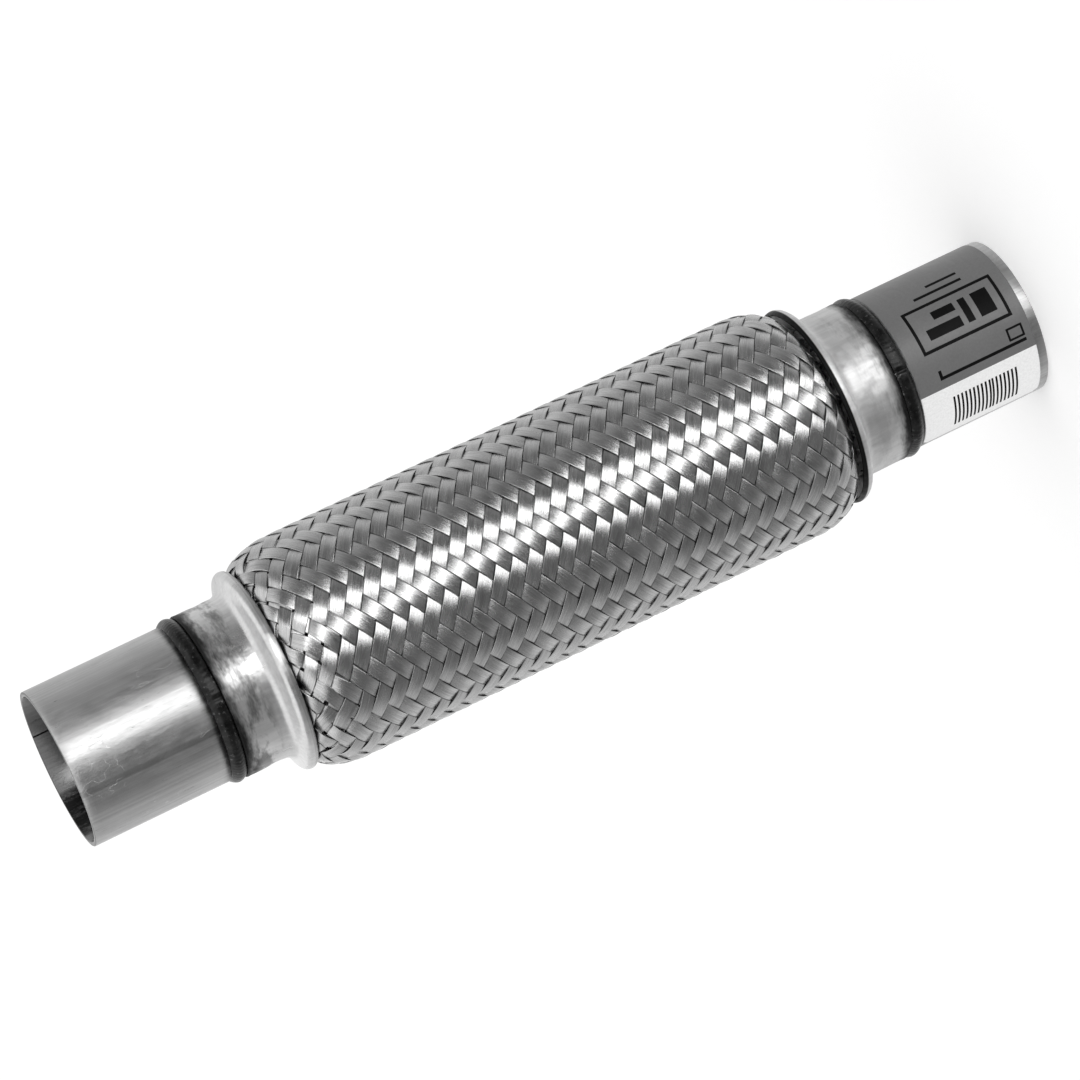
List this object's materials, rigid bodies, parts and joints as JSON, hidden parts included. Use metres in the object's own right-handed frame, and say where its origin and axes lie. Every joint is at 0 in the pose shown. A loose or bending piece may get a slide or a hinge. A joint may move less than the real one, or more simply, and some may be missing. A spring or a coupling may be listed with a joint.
{
  "type": "exhaust flex pipe",
  "caption": "Braided flexible exhaust coupling: corrugated bellows and inner liner under a woven steel sleeve, flared end collars and plain welded tube nipples.",
  "frame": {"origin": "centre of the outlet nipple's rim, on the surface that the pipe stands on", "axes": "+Z along the pipe's axis, from the outlet to the inlet; -Y is the side that the picture shows"},
  "size_m": [0.0734, 0.0734, 0.3302],
  "materials": {
    "nipple_steel": "satin, drawn lengthwise",
    "collar_steel": "pale satin, pressed",
    "weld_metal": "dark oxide skin",
    "braid_steel": "bright rolled strip",
    "bellows_steel": "rolled sheet",
    "liner_steel": "rolled strip",
    "label_paper": "printed paper"
  },
  "bodies": {
    "root": {"inlet_pipe": "nipple_steel", "outlet_pipe": "nipple_steel", "inlet_collar": "collar_steel", "outlet_collar": "collar_steel", "inlet_weld": "weld_metal", "outlet_weld": "weld_metal", "outer_braid": "braid_steel", "bellows_outer_ply": "bellows_steel", "bellows_inner_ply": "bellows_steel", "liner": "liner_steel", "label": "label_paper"}
  },
  "joints": []
}
